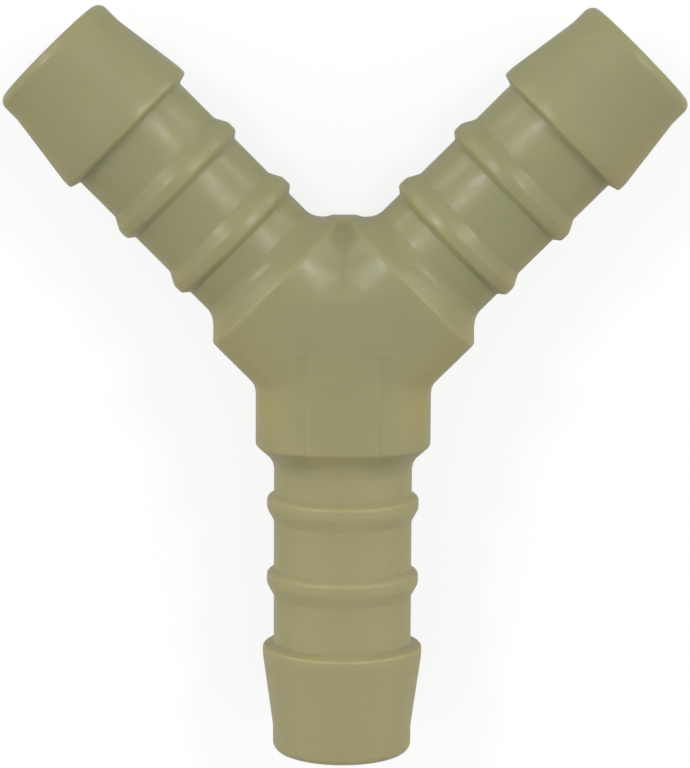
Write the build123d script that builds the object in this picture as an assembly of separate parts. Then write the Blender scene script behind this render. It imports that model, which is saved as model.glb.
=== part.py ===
"""Barbed Y connector for 12 mm hose, moulded in one piece from natural nylon.

Three equal hose tails leave one hub: the stem along -Y and two arms at 45
degrees either side of +Y. All three axes lie in one level plane, and the bores
run into each other at the middle of the hub. The hub is a round collar on each
axis, with a flat Y-shaped pad on top and another underneath. The piece lies on
the lower pad.

Frame, in millimetres: the origin is on the lower pad, straight below the point
where the three axes cross. +Z is up and +Y points between the arms.
"""
from build123d import *
import math
import os

# Tails, mm and degrees
TUBE_D = 12.0            # plain tube between the barbs
BORE_D = 9.0             # through passage
LEG_LENGTH = 35.8        # axes' crossing to the end of each tail
ARM_ANGLE = 45.0         # each arm from +Y
MOUTH_LEAD = 0.4         # chamfer inside each mouth

# Hub: one round collar on each axis
COLLAR_D = 15.1
COLLAR_LENGTH = 8.35     # axes' crossing to where the collar slopes down at 45 degrees
COLLAR_HOLLOW_R = 1.9    # hollow where the slope runs into the tube
RIM_EASE = 0.25          # taken off the edge between the collar and its slope

# Y-shaped pads, one bar along each axis
PADS_HEIGHT = 15.2       # from the lower pad's face to the upper one's
PAD_WIDTH = 5.8
PAD_LENGTH = 8.7         # axes' crossing to the end of each bar
PAD_EDGE_R = 0.25

# Barbs: two low ones and the nose, one pitch apart
FIRST_BARB = 12.74       # axes' crossing to the first barb's rise
BARB_PITCH = 6.63
BARB_D = 13.2
BARB_RISE = 0.45         # along the tube, on the hub's side
BARB_LAND = 0.9
BARB_RAMP = 1.1          # along the tube, on the mouth's side
BARB_EASE = 0.2          # taken off the barbs' sharp corners
NOSE_D = 13.9
NOSE_RISE = 0.28
NOSE_LAND = 0.8
TIP_D = 12.1
TIP_LENGTH = 2.3         # straight part at the mouth
TIP_EASES = (0.5, 0.18)  # taken off outside the mouth, then off the two new corners

# Worked out from the above
TUBE_R = TUBE_D / 2
BORE_R = BORE_D / 2
COLLAR_R = COLLAR_D / 2
CENTRE = Vector(0, 0, PADS_HEIGHT / 2)
TAIL_TURNS = {"stem": 180.0, "left": ARM_ANGLE, "right": -ARM_ANGLE}
BARB_STARTS = (FIRST_BARB, FIRST_BARB + BARB_PITCH)
NOSE_START = FIRST_BARB + 2 * BARB_PITCH
TAIL_ROOT = -2.0         # the tails' solids start inside the hub, past its middle
SECTOR_REACH = 4 * LEG_LENGTH    # the bores' mitring wedges run well past the mouths
OVERRUN = 1.0            # cutting tools run this far past the mouths


def tail_plane(name):
    """Plane at the axes' crossing whose normal points out along one tail."""
    turn = math.radians(TAIL_TURNS[name])
    outward = Vector(-math.sin(turn), math.cos(turn), 0)
    return Plane(origin=CENTRE, x_dir=Vector(0, 0, 1), z_dir=outward)


def on_each_tail(shape):
    """Copies of a shape made along +Z, one on each tail."""
    return [tail_plane(name) * shape for name in TAIL_TURNS]


def pads():
    """The Y-shaped block whose two ends are the pads, its outline rounded there."""
    bar = Pos(0, PAD_LENGTH / 2) * Rectangle(PAD_WIDTH, PAD_LENGTH)
    outline = Sketch() + [Rot(0, 0, turn) * bar for turn in TAIL_TURNS.values()]
    block = extrude(outline, PADS_HEIGHT)
    faces = block.faces().sort_by(Axis.Z)
    return fillet(faces[0].edges() + faces[-1].edges(), PAD_EDGE_R)


def hollow():
    """Arc of the hollow between collar and tube, as (radius, distance)."""
    end = COLLAR_LENGTH + COLLAR_R - TUBE_R + COLLAR_HOLLOW_R * math.tan(math.radians(22.5))
    arc_points = []
    for turned in (45.0, 22.5, 0.0):
        rise = COLLAR_HOLLOW_R * (1 - math.cos(math.radians(turned)))
        back = COLLAR_HOLLOW_R * math.sin(math.radians(turned))
        arc_points.append((TUBE_R + rise, end - back))
    return ThreePointArc(*arc_points)


def low_barb(start):
    """Outline of one low barb as (radius, distance), from the hub's side outwards."""
    top = start + BARB_RISE
    return [
        (TUBE_R, start),
        (BARB_D / 2, top),
        (BARB_D / 2, top + BARB_LAND),
        (TUBE_R, top + BARB_LAND + BARB_RAMP),
    ]


def nose():
    """Outline of the end barb and its taper as (radius, distance), out to the mouth."""
    top = NOSE_START + NOSE_RISE
    return [
        (TUBE_R, NOSE_START),
        (NOSE_D / 2, top),
        (NOSE_D / 2, top + NOSE_LAND),
        (TIP_D / 2, LEG_LENGTH - TIP_LENGTH),
        (TIP_D / 2, LEG_LENGTH),
    ]


def eased(section):
    """The tail's section with its barbs' and mouth's sharp outer corners taken off."""
    past_hub = [corner for corner in section.vertices() if corner.Y > FIRST_BARB]
    section = chamfer([corner for corner in past_hub if corner.X > BARB_D / 2 - 0.01], BARB_EASE)
    for cut in TIP_EASES:
        end_corners = [
            corner
            for corner in section.vertices()
            if corner.Y > LEG_LENGTH - TIP_LENGTH / 2 and corner.X > BORE_R
        ]
        section = chamfer(end_corners, cut)
    return section


def tail():
    """One hose tail along +Z with its collar, still without its bore."""
    arc = hollow()
    outline = []
    for start in BARB_STARTS:
        outline += low_barb(start)
    outline += nose() + [(0, LEG_LENGTH), (0, TAIL_ROOT), (COLLAR_R, TAIL_ROOT), (COLLAR_R, COLLAR_LENGTH)]
    section = make_face([arc, Polyline([arc @ 1] + outline + [arc @ 0])])
    rim = section.vertices().sort_by_distance((COLLAR_R, COLLAR_LENGTH))[0]
    section = chamfer(rim, RIM_EASE)
    return revolve(Plane.XZ * eased(section), axis=Axis.Z)


def bore(name):
    """Cutting tool for one passage, mitred where it meets the other two."""
    reach = LEG_LENGTH + OVERRUN
    passage = Cylinder(BORE_R, 2 * reach)
    lead = Pos(0, 0, LEG_LENGTH - MOUTH_LEAD) * Cone(
        BORE_R,
        BORE_R + MOUTH_LEAD + OVERRUN,
        MOUTH_LEAD + OVERRUN,
        align=(Align.CENTER, Align.CENTER, Align.MIN),
    )
    turns = sorted(TAIL_TURNS.values())
    place = turns.index(TAIL_TURNS[name])
    sides = (turns[place - 1], turns[(place + 1) % 3])
    outline = [(0, 0)]
    own = TAIL_TURNS[name]
    for other in sides:
        halfway = math.radians(own + ((other - own + 180) % 360 - 180) / 2)
        outline.append((-SECTOR_REACH * math.sin(halfway), SECTOR_REACH * math.cos(halfway)))
    sector = extrude(make_face(Polyline(outline, close=True)), PADS_HEIGHT)
    return (tail_plane(name) * (passage + lead)) & sector


def connector_body():
    """The whole moulding: tails and pads joined, then bored."""
    body = Part() + on_each_tail(tail()) + pads()
    passages = Part() + [bore(name) for name in TAIL_TURNS]
    return body - passages


def main():
    os.makedirs("parts", exist_ok=True)
    export_step(connector_body(), "parts/connector_body.step")


main()
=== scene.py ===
"""Looks of a barbed Y hose connector, moulded in one piece from natural nylon."""

import math

import bpy
from mathutils import Matrix, Vector


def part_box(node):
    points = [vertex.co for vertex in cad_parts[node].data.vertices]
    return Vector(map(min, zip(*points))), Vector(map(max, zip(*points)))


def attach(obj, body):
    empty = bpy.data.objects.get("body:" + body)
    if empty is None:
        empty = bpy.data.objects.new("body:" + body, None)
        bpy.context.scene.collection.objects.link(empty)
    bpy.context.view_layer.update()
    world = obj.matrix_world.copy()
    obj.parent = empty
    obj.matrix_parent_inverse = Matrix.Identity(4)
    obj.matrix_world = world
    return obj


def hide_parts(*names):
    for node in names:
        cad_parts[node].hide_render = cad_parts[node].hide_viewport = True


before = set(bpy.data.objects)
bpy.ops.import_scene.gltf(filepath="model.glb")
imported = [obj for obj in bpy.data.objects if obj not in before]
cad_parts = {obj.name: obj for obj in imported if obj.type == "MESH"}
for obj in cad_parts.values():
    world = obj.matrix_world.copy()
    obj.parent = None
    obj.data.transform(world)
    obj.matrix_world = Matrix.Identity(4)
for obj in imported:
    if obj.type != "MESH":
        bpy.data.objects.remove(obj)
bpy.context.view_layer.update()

MM = 0.001

Y_AXIS = Vector((0, 1, 0))
Z_AXIS = Vector((0, 0, 1))

# The three axes cross here, at mid height of the hub
BODY = "connector_body"
BODY_LOW, BODY_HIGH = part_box(BODY)
CENTRE = Vector((0, 0, (BODY_LOW.z + BODY_HIGH.z) / 2))


# ---------------------------------------------------------------- shader kit


class Socket:
    """A number, colour or vector in a material, with maths on numbers."""

    def __init__(self, tree, output):
        self.tree = tree
        self.output = output

    def maths(self, operation, first, second=None):
        values = [first] if second is None else [first, second]
        return self.tree.add("ShaderNodeMath", {"operation": operation}, dict(enumerate(values)))

    def __add__(self, other):
        return self.maths("ADD", self, other)

    def __radd__(self, other):
        return self.maths("ADD", other, self)

    def __sub__(self, other):
        return self.maths("SUBTRACT", self, other)

    def __rsub__(self, other):
        return self.maths("SUBTRACT", other, self)

    def __mul__(self, other):
        return self.maths("MULTIPLY", self, other)

    def __rmul__(self, other):
        return self.maths("MULTIPLY", other, self)

    def __abs__(self):
        return self.maths("ABSOLUTE", self)

    def or_more(self, other):
        """The larger of this number and another."""
        return self.maths("MAXIMUM", self, other)


class Tree:
    """The nodes of a material or a world, added by type, settings and socket values."""

    def __init__(self, owner):
        self.owner = owner
        self.owner.use_nodes = True
        self.nodes = self.owner.node_tree.nodes
        self.links = self.owner.node_tree.links
        self.nodes.clear()

    def add(self, kind, settings=None, values=None, output=0):
        node = self.nodes.new(kind)
        for key, setting in (settings or {}).items():
            setattr(node, key, setting)
        for key, value in (values or {}).items():
            if isinstance(value, Socket):
                self.links.new(value.output, node.inputs[key])
            else:
                node.inputs[key].default_value = value
        return Socket(self, node.outputs[output])

    def finish(self, surface):
        kind = "Material" if isinstance(self.owner, bpy.types.Material) else "World"
        target = self.nodes.new("ShaderNodeOutput" + kind)
        self.links.new(surface.output, target.inputs["Surface"])
        return self.owner


def parts_of(tree, vector, names):
    """The named parts, of X, Y and Z, of a vector."""
    return [tree.add("ShaderNodeSeparateXYZ", {}, {0: vector}, output=name) for name in names]


def rays(tree, *names):
    """For each kind of ray, 1 if that is what is being followed and 0 if not."""
    return [tree.add("ShaderNodeLightPath", output=name) for name in names]


def rgb(red, green, blue):
    """Linear colour from 0 to 255 screen values."""
    def linear(value):
        value /= 255
        return value / 12.92 if value <= 0.04045 else ((value + 0.055) / 1.055) ** 2.4
    return (linear(red), linear(green), linear(blue), 1.0)


# -------------------------------------------------------------------- shapes

# Sizes in millimetres. A tail is modelled pointing up +Z from the crossing of the axes.
TUBE_R = 6.0
BORE_R = 4.5
TAIL_END = 35.8
MOUTH_LEAD = 0.4
TAIL_SIDES = 128
BORE_SIDES = 96
OVERRUN = 1.0                             # how far the cutting tool runs past its ends
TAIL_TURNS = {"stem": 180.0, "left": 45.0, "right": -45.0}

# Hub: a collar on each axis, a little squarer than round, that slopes down to a hollow
COLLAR_R = 7.58
COLLAR_ROOT = -2.0
COLLAR_END = 8.32
COLLAR_SLOPE = math.radians(45)
HOLLOW_R = 1.9
HOLLOW_STEPS = 4

# How square each collar is on its two sides, clockwise first: 2 is round, more is squarer
SQUARENESS = {"stem": (2.7, 2.7), "left": (3.0, 2.15), "right": (2.15, 3.0)}

# Y-shaped pad under the hub, one bar along each axis
PAD_DEPTH = 7.6
PAD_HALF_WIDTH = 2.85
PAD_END = 8.6

# Webs that fill the corner between the arms: half width, end along +Y, half height
WEBS = ((2.9, 5.5, 7.45), (1.2, 11.35, 1.6))

# The hub is grown together in cells of this size, then smoothed
HUB_VOXEL = 0.16
SMOOTH_FACTOR = 0.5
ROUNDS_OVERALL = 5

# Where it is smoothed more: each pair says over which distance the smoothing comes in or fades
VALLEY_TURNS = (112.5, -112.5)            # the planes where the stem's collar meets the arms'
VALLEY_SIDE_FADE = (0.5, 2.4)
CROTCH_SIDE_FADE = (1.2, 3.6)
CROTCH_START = (4.6, 6.0)
CROTCH_ARM_FADE = (7.6, 8.2)
WEB_SIDE_FADE = (2.0, 4.0)
WEB_START = (0.5, 2.0)
WEB_END_FADE = (5.6, 6.6)
SLOPE_START = (8.7, 9.3)

# A strip along the top of the stem's collar, with the rest let down a little beside it
STRIP_HALF_WIDTH = 2.85
STRIP_START = 0.3
STRIP_END = -9.32
STRIP_STEP = 0.09
STRIP_EDGE = 0.25
STRIP_SIDE_FADE = (3.2, 4.4)

# The solids of the hub and of the tails end just inside each other's surface
HUB_FADE = (5.9, 11.4)
TAIL_FADE = (5.9, 10.0)
FADE_END = 10.74

# Barbs as (radius, distance) corners, then how much each corner is rounded
BARB_STARTS = (12.74, 19.37)
BARB = ((TUBE_R, 0.0), (6.6, 0.45), (6.6, 1.35), (TUBE_R, 2.45))
NOSE = ((TUBE_R, 26.0), (6.95, 26.28), (6.95, 27.08), (6.05, 33.5), (6.05, TAIL_END))
CREST_ROUNDING = (0.2, 4)                 # size, and number of steps
ROOT_ROUNDING = (0.12, 3)
MOUTH_ROUNDING = (0.87, 6)

SMOOTH_ANGLE = math.radians(35)           # edges sharper than this stay sharp
FACING_UP = 0.9                           # least height of the direction of a face that faces up
CLOSE = 0.01                              # how near a place is to a corner that it lies at
LEAST_WEIGHT = 0.01


def nothing_selected():
    bpy.ops.object.select_all(action="DESELECT")


def only_selected(piece):
    nothing_selected()
    piece.select_set(True)
    bpy.context.view_layer.objects.active = piece


def shaped(name):
    """Leave edit mode and name what was made."""
    bpy.ops.object.mode_set(mode="OBJECT")
    piece = bpy.context.object
    piece.name = name
    return piece


def pick(piece, faces=None, edges=None):
    """Select only the faces, or only the edges between places, that a test passes."""
    bpy.ops.object.mode_set(mode="EDIT")
    bpy.ops.mesh.select_all(action="DESELECT")
    bpy.ops.mesh.select_mode(type="FACE" if faces else "EDGE")
    bpy.ops.object.mode_set(mode="OBJECT")
    mesh = piece.data
    if faces:
        for face in mesh.polygons:
            face.select = faces(face)
    else:
        for edge in mesh.edges:
            ends = [mesh.vertices[index].co for index in edge.vertices]
            edge.select = edges(*ends)
    bpy.ops.object.mode_set(mode="EDIT")


def draw_out(outline):
    """Extrude the selected end face through rings given as (radius, distance)."""
    for (radius, distance), (next_radius, next_distance) in zip(outline, outline[1:]):
        step = (0, 0, next_distance - distance)
        bpy.ops.mesh.extrude_region_move(TRANSFORM_OT_translate={"value": step})
        scale = next_radius / radius
        bpy.ops.transform.resize(value=(scale, scale, 1), center_override=(0, 0, next_distance))


def turned_solid(name, outline, sides=TAIL_SIDES):
    """A closed round solid along +Z, drawn out ring by ring."""
    (radius, distance), (second_radius, second) = outline[:2]
    nothing_selected()
    bpy.ops.mesh.primitive_cylinder_add(
        vertices=sides,
        radius=radius,
        depth=second - distance,
        location=(0, 0, (distance + second) / 2),
    )
    bpy.ops.object.transform_apply()
    solid = bpy.context.object
    scale = second_radius / radius
    pick(solid, faces=lambda face: face.normal.z > FACING_UP)
    bpy.ops.transform.resize(value=(scale, scale, 1), center_override=(0, 0, second))
    draw_out(outline[1:])
    return shaped(name)


def round_rings(solid, corners, rounding):
    """Round the ring edges at corners given as (radius, distance)."""
    def is_at(place, radius, distance):
        return abs(place.z - distance) < CLOSE and abs(place.xy.length - radius) < CLOSE

    def at_corner(first, second):
        return any(is_at(first, *corner) and is_at(second, *corner) for corner in corners)

    width, segments = rounding
    pick(solid, edges=at_corner)
    bpy.ops.mesh.bevel(offset=width, offset_type="OFFSET", segments=segments, affect="EDGES")
    shaped(solid.name)


def tail_solid():
    """One hose tail with its barbs, still without its bore."""
    barbs = [(radius, start + along) for start in BARB_STARTS for radius, along in BARB]
    outline = [TAIL_FADE, (TUBE_R, FADE_END)] + barbs + list(NOSE)
    solid = turned_solid("tail", outline)
    mouth = NOSE[-1]
    crests = [corner for corner in barbs + list(NOSE) if corner[0] > mouth[0]]
    roots = [corner for corner in barbs + [NOSE[0]] if corner[0] == TUBE_R]
    round_rings(solid, crests, CREST_ROUNDING)
    round_rings(solid, roots, ROOT_ROUNDING)
    round_rings(solid, [mouth], MOUTH_ROUNDING)
    return solid


def squared(around, power):
    """How much further out than a circle a squarer-than-round section is, at an angle."""
    return (abs(math.cos(around)) ** power + abs(math.sin(around)) ** power) ** (-1 / power)


def collar_solid(squareness):
    """Collar with its sloped end and the hollow that runs out into the round tube."""
    end = COLLAR_END + COLLAR_R - TUBE_R + HOLLOW_R * math.tan(COLLAR_SLOPE / 2)
    outline = [(COLLAR_R, COLLAR_ROOT), (COLLAR_R, COLLAR_END)]
    for step in range(HOLLOW_STEPS + 1):
        slope = COLLAR_SLOPE * (1 - step / HOLLOW_STEPS)
        rise, back = HOLLOW_R * (1 - math.cos(slope)), HOLLOW_R * math.sin(slope)
        outline.append((TUBE_R + rise, end - back))
    collar = turned_solid("collar", outline + [HUB_FADE])
    for vertex in collar.data.vertices:
        place = vertex.co
        power = squareness[0] if place.x > 0 else squareness[1]
        fuller = squared(math.atan2(place.y, place.x), power)
        fuller = 1 + (fuller - 1) * (1 - ramp(place.z, COLLAR_END, end))
        place.x *= fuller
        place.y *= fuller
    return collar


def block(half_width, end, low, high):
    """Block along +Z that reaches from low to high once it is laid level."""
    nothing_selected()
    bpy.ops.mesh.primitive_cube_add(
        size=1, location=(0, (low + high) / 2, end / 2), scale=(2 * half_width, high - low, end)
    )
    bpy.ops.object.transform_apply()
    return bpy.context.object


def bore_solid():
    """What is cut out of a tail: the passage and the lead inside its mouth."""
    outline = [
        (BORE_R, -OVERRUN),
        (BORE_R, TAIL_END - MOUTH_LEAD),
        (BORE_R + MOUTH_LEAD + OVERRUN, TAIL_END + OVERRUN),
    ]
    return turned_solid("bore", outline, sides=BORE_SIDES)


def outward_of(name):
    """The level direction in which a tail points."""
    turn = math.radians(TAIL_TURNS[name])
    return Vector((-math.sin(turn), math.cos(turn), 0))


def laid_along(solid, outward):
    """Lay a solid made along +Z along a level direction instead."""
    solid.rotation_mode = "QUATERNION"
    axes = Matrix((Z_AXIS.cross(outward), Z_AXIS, outward)).transposed()
    solid.rotation_quaternion = axes.to_quaternion()
    return solid


def on_each_tail(solid):
    """Three copies of a solid made along +Z, one on each tail, joined in one object."""
    copies = []
    for name in TAIL_TURNS:
        copy = solid.copy()
        copy.data = solid.data.copy()
        bpy.context.scene.collection.objects.link(copy)
        copies.append(laid_along(copy, outward_of(name)))
    bpy.data.objects.remove(solid)
    return joined(copies)


def joined(solids):
    """The solids in one object, each as it lies."""
    nothing_selected()
    for solid in solids:
        solid.select_set(True)
    bpy.context.view_layer.objects.active = solids[0]
    bpy.ops.object.join()
    bpy.ops.object.transform_apply()
    return bpy.context.object


def modify(piece, kind, **settings):
    """Add a modifier and apply it."""
    only_selected(piece)
    modifier = piece.modifiers.new(kind, kind)
    for key, value in settings.items():
        setattr(modifier, key, value)
    bpy.ops.object.modifier_apply(modifier=modifier.name)


def cut_or_join(piece, tool, operation):
    modify(piece, "BOOLEAN", operation=operation, object=tool, solver="MANIFOLD")
    bpy.data.objects.remove(tool)


def weight_group(piece, name, weigh):
    """A vertex group whose weights come from a function of place."""
    group = piece.vertex_groups.new(name=name)
    for vertex in piece.data.vertices:
        weight = weigh(vertex.co)
        if weight > LEAST_WEIGHT:
            group.add([vertex.index], min(weight, 1.0), "REPLACE")
    return group.name


def ramp(value, zero, one):
    """0 at zero, 1 at one and smooth between."""
    t = min(max((value - zero) / (one - zero), 0.0), 1.0)
    return t * t * (3 - 2 * t)


def in_valley(place):
    """How near a place is to the corners where the stem's collar meets the arms'."""
    nearest = VALLEY_SIDE_FADE[1]
    for turn in map(math.radians, VALLEY_TURNS):
        side = Vector((math.cos(turn), math.sin(turn), 0))
        ahead = Vector((-side.y, side.x, 0))
        if place.dot(ahead) > 0:
            nearest = min(nearest, abs(place.dot(side)))
    return 1 - ramp(nearest, *VALLEY_SIDE_FADE)


def in_crotch(place):
    """How near a place is to the corner between the arms, short of their collars' rims."""
    along = max(place.dot(outward_of("left")), place.dot(outward_of("right")))
    beside = 1 - ramp(abs(place.x), *CROTCH_SIDE_FADE)
    return beside * ramp(place.y, *CROTCH_START) * (1 - ramp(along, *CROTCH_ARM_FADE))


def in_web(place):
    """How near a place is to the web that levels the inner end of the corner between the arms."""
    beside = 1 - ramp(abs(place.x), *WEB_SIDE_FADE)
    return beside * ramp(place.y, *WEB_START) * (1 - ramp(place.y, *WEB_END_FADE))


def past_rim(place):
    """The sloped end of a collar and the hollow under it."""
    return ramp(max(place.dot(outward_of(name)) for name in TAIL_TURNS), *SLOPE_START)


# Where the hub is smoothed more than overall, in this order, and how many rounds
SMOOTHED_MORE = ((in_crotch, 60), (in_web, 200), (in_valley, 90), (past_rim, 25))


def hub_solid():
    """The three collars and the pad grown together, with soft edges and filled corners."""
    pad = on_each_tail(block(PAD_HALF_WIDTH, PAD_END, -PAD_DEPTH, 0.0))
    webs = [laid_along(block(width, end, -height, height), Y_AXIS) for width, end, height in WEBS]
    collars = [laid_along(collar_solid(SQUARENESS[name]), outward_of(name)) for name in TAIL_TURNS]
    hub = joined(collars + [pad] + webs)
    hub.name = "hub"
    modify(hub, "REMESH", mode="VOXEL", voxel_size=HUB_VOXEL)
    for weigh, rounds in SMOOTHED_MORE:
        group = weight_group(hub, weigh.__name__, weigh)
        modify(hub, "SMOOTH", factor=SMOOTH_FACTOR, iterations=rounds, vertex_group=group)
    modify(hub, "SMOOTH", factor=SMOOTH_FACTOR, iterations=ROUNDS_OVERALL)
    hub.vertex_groups.clear()
    let_down_beside_strip(hub)
    return hub


def let_down_beside_strip(hub):
    """Sink the top of the stem's collar on both sides of the strip, fading out outwards."""
    for vertex in hub.data.vertices:
        place = vertex.co
        side = abs(place.x)
        beside = ramp(side, STRIP_HALF_WIDTH, STRIP_HALF_WIDTH + STRIP_EDGE)
        beside *= 1 - ramp(side, *STRIP_SIDE_FADE)
        along = 1 - ramp(place.y, STRIP_START - STRIP_EDGE, STRIP_START)
        if place.z > 0 and place.y > STRIP_END:
            place.z -= STRIP_STEP * beside * along


def moulded_connector():
    """The whole moulding, in place and in metres."""
    body = hub_solid()
    cut_or_join(body, on_each_tail(tail_solid()), "UNION")
    cut_or_join(body, on_each_tail(bore_solid()), "DIFFERENCE")
    body.name = "moulded_connector"
    body.scale = (MM, MM, MM)
    body.location = CENTRE
    only_selected(body)
    bpy.ops.object.transform_apply()
    bpy.ops.object.shade_smooth_by_angle(angle=SMOOTH_ANGLE)
    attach(body, "root")
    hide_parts(BODY)
    return body


# ----------------------------------------------------------------- materials

# Resin, with painted light towards the stem and painted warm shade
NYLON_OLIVE = (0.318, 0.311, 0.150, 1.0)
NYLON_CREAM = (0.380, 0.345, 0.166, 1.0)
PAINTED_SHADE_AMBER = (0.425, 0.348, 0.130, 1.0)
STEM_PAINTED_LIGHT = (2.0, -18.0)                # where along Y the painted light, lighter and creamier, comes in towards the stem, mm
# The first share is how much painted light the stem's end gets
STEM_PAINTED_LIGHT_SHARE, CLOUDS_SHARE, MOTTLE_SHARE = 0.9, 0.3, 0.1
# Painted warm shade, amber, on the outer sides of the arms and in the hub's lower corners
PAINTED_SHADE_SHARE = 0.6
PAINTED_SHADE_OUTWARDS = (4.5, 10.0)              # where the painted shade comes in: across X less along Y, mm
PAINTED_SHADE_SIDEWAYS = (3.5, 7.0)               # then across X alone, and along Y alone
PAINTED_SHADE_ALONG = (-9.0, -5.0)
SCATTER_LENGTH = 0.8                      # how far light scatters in the plastic, mm
SCATTER_COLOURS = (1.0, 0.8, 0.4)         # how much of that red, green and blue light goes
REFRACTION = 1.53

# Skin
WAVES_DEPTH, GRAIN_DEPTH = 0.06, 0.012    # mm
ROUGHNESS, ROUGHNESS_VARIATION = 0.33, 0.1

# Noises: blobs in each millimetre, detail, and which of its values become 0 and 1
CLOUDS = (0.12, 2.0, (0.35, 0.65))
MOTTLE = (0.9, 3.0, (0.3, 0.7))
SHEEN = (0.7, 3.0, (0.3, 0.7))
WAVES = (0.45, 1.0, None)
GRAIN = (4.0, 3.0, None)

# Dark specks in the plastic: place in millimetres, and radius
SPECKS = (((20.2, 21.1, 12.6), 0.10), ((-21.6, 18.9, 11.0), 0.13), ((-3.0, 0.23, 15.2), 0.10))
SPECK_COLOUR = (0.020, 0.018, 0.012, 1.0)
SPECK_EDGE = (0.5, 1.3)                   # full to here and gone from there, in radii
SPECK_SHARE = 0.85

# Floor: one white for the camera, part of it in reflections, and a grey that sheds less light
FLOOR_COLOUR = rgb(252, 252, 252)
FLOOR_BOUNCE = rgb(150, 150, 148)
FLOOR_SHADOW = 0.25                       # how much of the floor's white a shadow can take
FLOOR_GLOW = 1.06
FLOOR_REFLECTED = 0.4                     # how much of the floor's white shows in reflections


def spread(tree, value, low, high):
    """The value stretched so that low becomes 0 and high becomes 1, smoothly."""
    return tree.add(
        "ShaderNodeMapRange",
        {"interpolation_type": "SMOOTHSTEP"},
        {"Value": value, "From Min": low, "From Max": high},
    )


def over(tree, length, span):
    """A length stretched in the same way, between two lengths in millimetres."""
    low, high = span
    return spread(tree, length, low * MM, high * MM)


def noise(tree, place, per_mm, detail, span):
    """Noise with about per_mm blobs in each millimetre, stretched if a span is given."""
    values = {"Vector": place, "Scale": per_mm / MM, "Detail": detail}
    blobs = tree.add("ShaderNodeTexNoise", {}, values)
    return spread(tree, blobs, *span) if span else blobs


def blend(tree, amount, first, second):
    """A colour between two colours."""
    return tree.add(
        "ShaderNodeMix", {"data_type": "RGBA"}, {0: amount, 6: first, 7: second}, output=2
    )


def bumped(tree, height, depth, normal=None):
    """The surface's direction after a bump of a depth in millimetres."""
    values = {"Strength": 1.0, "Distance": depth * MM, "Height": height}
    if normal:
        values["Normal"] = normal
    return tree.add("ShaderNodeBump", {}, values)


def natural_nylon():
    """Undyed nylon: cloudy olive and cream, a little see-through, with a frosted sheen, painted
    lighter towards the stem and with painted warm shade on the arms' outer sides and the hub's
    lower corners.
    """
    tree = Tree(bpy.data.materials.new("natural nylon"))
    place = tree.add("ShaderNodeTexCoord", output="Object")

    # Painted light: the resin is painted lighter and warmer towards the stem; its tone also varies
    # at random, in broad clouds and in small ones
    across, along = parts_of(tree, place, "XY")
    # painted light: the stem's end is painted lighter and creamier
    stem = over(tree, along, STEM_PAINTED_LIGHT)
    clouds, mottle = noise(tree, place, *CLOUDS), noise(tree, place, *MOTTLE)
    cream = stem * STEM_PAINTED_LIGHT_SHARE + clouds * CLOUDS_SHARE + mottle * MOTTLE_SHARE
    colour = blend(tree, cream, NYLON_OLIVE, NYLON_CREAM)

    # Painted warm shade: a little amber along the outer sides of the arms and in the hub's lower
    # corners, where they face away from the light
    side = abs(across)
    painted_shade = over(tree, side - along, PAINTED_SHADE_OUTWARDS) * over(tree, side, PAINTED_SHADE_SIDEWAYS)
    painted_shade = painted_shade * over(tree, along, PAINTED_SHADE_ALONG)
    colour = blend(tree, painted_shade * PAINTED_SHADE_SHARE, colour, PAINTED_SHADE_AMBER)
    for centre, radius in SPECKS:
        away = tree.add(
            "ShaderNodeVectorMath", {"operation": "DISTANCE"},
            {0: place, 1: tuple(part * MM for part in centre)}, output="Value",
        )
        speck = 1 - over(tree, away, [radius * edge for edge in SPECK_EDGE])
        colour = blend(tree, speck * SPECK_SHARE, colour, SPECK_COLOUR)

    # A moulded skin: slow waves from shrinking, and a fine frosted grain
    skin = bumped(tree, noise(tree, place, *WAVES), WAVES_DEPTH)
    skin = bumped(tree, noise(tree, place, *GRAIN), GRAIN_DEPTH, skin)
    surface = tree.add(
        "ShaderNodeBsdfPrincipled",
        {},
        {
            "Base Color": colour,
            "Roughness": ROUGHNESS + ROUGHNESS_VARIATION * noise(tree, place, *SHEEN),
            "IOR": REFRACTION,
            "Subsurface Weight": 1.0,
            "Subsurface Radius": SCATTER_COLOURS,
            "Subsurface Scale": SCATTER_LENGTH * MM,
            "Normal": skin,
        },
    )
    return tree.finish(surface)


def floor_paper():
    """Shows as white paper with a faint shadow, and sheds less light than it shows."""
    tree = Tree(bpy.data.materials.new("floor paper"))
    glow = tree.add("ShaderNodeEmission", {}, {"Color": (1, 1, 1, 1), "Strength": FLOOR_GLOW})
    paper = tree.add("ShaderNodeBsdfDiffuse", {}, {"Color": FLOOR_COLOUR})
    white = tree.add("ShaderNodeMixShader", {}, {0: FLOOR_SHADOW, 1: glow, 2: paper})
    bounce = tree.add("ShaderNodeBsdfDiffuse", {}, {"Color": FLOOR_BOUNCE})
    looked_at, reflected = rays(tree, "Is Camera Ray", "Is Glossy Ray")
    shown = looked_at.or_more(reflected * FLOOR_REFLECTED)
    return tree.finish(tree.add("ShaderNodeMixShader", {}, {0: shown, 1: bounce, 2: white}))


# --------------------------------------------------------------------- stage

FLOOR_SIZE = 1.2

# Softboxes: name, where it hangs from the crossing, distance, size, and the light it sheds
LAMPS = (
    ("key_right", (0.53, 0.41, 0.745), 0.60, (0.08, 0.08), 0.19),
    ("key_left", (-0.53, 0.41, 0.745), 0.60, (0.08, 0.08), 0.19),
    ("low_right", (0.76, 0.65, 0.02), 0.60, (0.09, 0.04), 0.06),
    ("low_left", (-0.76, 0.65, 0.02), 0.60, (0.09, 0.04), 0.06),
)

# The room's light: the same from all round, then from both sides, then from the stem's end
ROOM_EVEN = 0.11
ROOM_SIDES = 1.5
ROOM_LEAN = 0.6                           # how much more of the sides' comes from the arms' end
ROOM_STEM_END = 0.45


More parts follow.
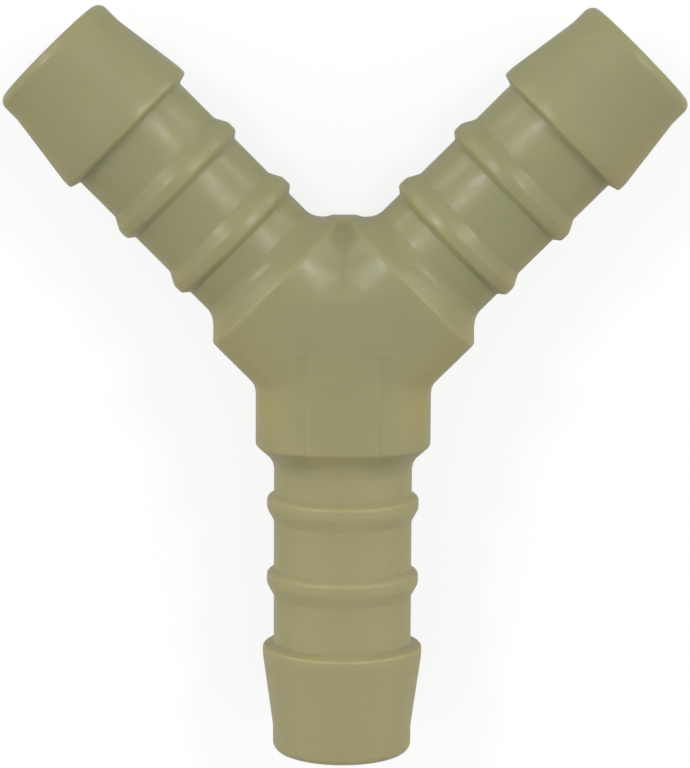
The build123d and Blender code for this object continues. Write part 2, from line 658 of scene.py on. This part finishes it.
def add_floor():
    nothing_selected()
    bpy.ops.mesh.primitive_plane_add(size=FLOOR_SIZE, location=(0, 0, 0))
    floor = bpy.context.object
    floor.name = "floor"
    floor.data.materials.append(floor_paper())


def add_lamp(name, direction, distance, size, level):
    """Add a softbox; level 1 alone would show a white card facing it as white."""
    data = bpy.data.lights.new(name, "AREA")
    data.shape = "RECTANGLE"
    data.size, data.size_y = size
    data.energy = level * (math.pi * distance) ** 2
    lamp = bpy.data.objects.new(name, data)
    bpy.context.scene.collection.objects.link(lamp)
    outward = Vector(direction).normalized()
    lamp.location = CENTRE + outward * distance
    lamp.rotation_mode = "QUATERNION"
    lamp.rotation_quaternion = outward.to_track_quat("Z", "Y")


def add_world():
    """Soft light from both sides and the stem's end, and white where the camera looks."""
    tree = Tree(bpy.data.worlds.new("studio"))
    across, along = parts_of(tree, tree.add("ShaderNodeTexCoord"), "XY")
    stem_end = (0 - along).or_more(0.0)
    leaning = ROOM_SIDES * abs(across) * (1 + ROOM_LEAN * along)
    level = ROOM_EVEN + leaning + ROOM_STEM_END * stem_end
    room = tree.add("ShaderNodeBackground", {}, {"Strength": level})
    white = tree.add("ShaderNodeBackground", {}, {"Color": (1, 1, 1, 1), "Strength": 1.0})
    looked_at, reflected, seen_through = rays(
        tree, "Is Camera Ray", "Is Glossy Ray", "Is Transmission Ray"
    )
    seen = looked_at.or_more(reflected).or_more(seen_through)
    mixed = tree.add("ShaderNodeMixShader", {}, {0: seen, 1: room, 2: white})
    bpy.context.scene.world = tree.finish(mixed)


# -------------------------------------------------------------------- camera

IMAGE_HEIGHT = 768                        # pixels, the frame's long side
FOCAL_PIXELS = 3041.0
CAMERA_DISTANCE = 263.0 * MM              # from the plane of the axes
CAMERA_SHIFT = (0.119 * MM, -3.22 * MM)   # from the crossing, across the view
CAMERA_TILT = math.radians(8.27)          # leans towards the arms
CAMERA_TURN = math.radians(-0.4)
CAMERA_ROLL = math.radians(-0.36)
CAMERA_CLIP = (0.01, 10.0)


def add_camera():
    data = bpy.data.cameras.new("camera")
    data.lens = FOCAL_PIXELS / IMAGE_HEIGHT * data.sensor_width
    data.clip_start, data.clip_end = CAMERA_CLIP
    camera = bpy.data.objects.new("camera", data)
    bpy.context.scene.collection.objects.link(camera)
    camera.rotation_mode = "ZYX"
    camera.rotation_euler = (-CAMERA_TILT, -CAMERA_TURN, -CAMERA_ROLL)
    turned = camera.rotation_euler.to_matrix()
    camera.location = CENTRE + turned @ Vector((*CAMERA_SHIFT, CAMERA_DISTANCE))
    bpy.context.scene.camera = camera


# ---------------------------------------------------------------------- make


def main():
    bpy.context.scene.view_settings.view_transform = "Standard"
    body = moulded_connector()
    body.data.materials.clear()
    body.data.materials.append(natural_nylon())
    add_floor()
    add_world()
    for lamp in LAMPS:
        add_lamp(*lamp)
    add_camera()


main()
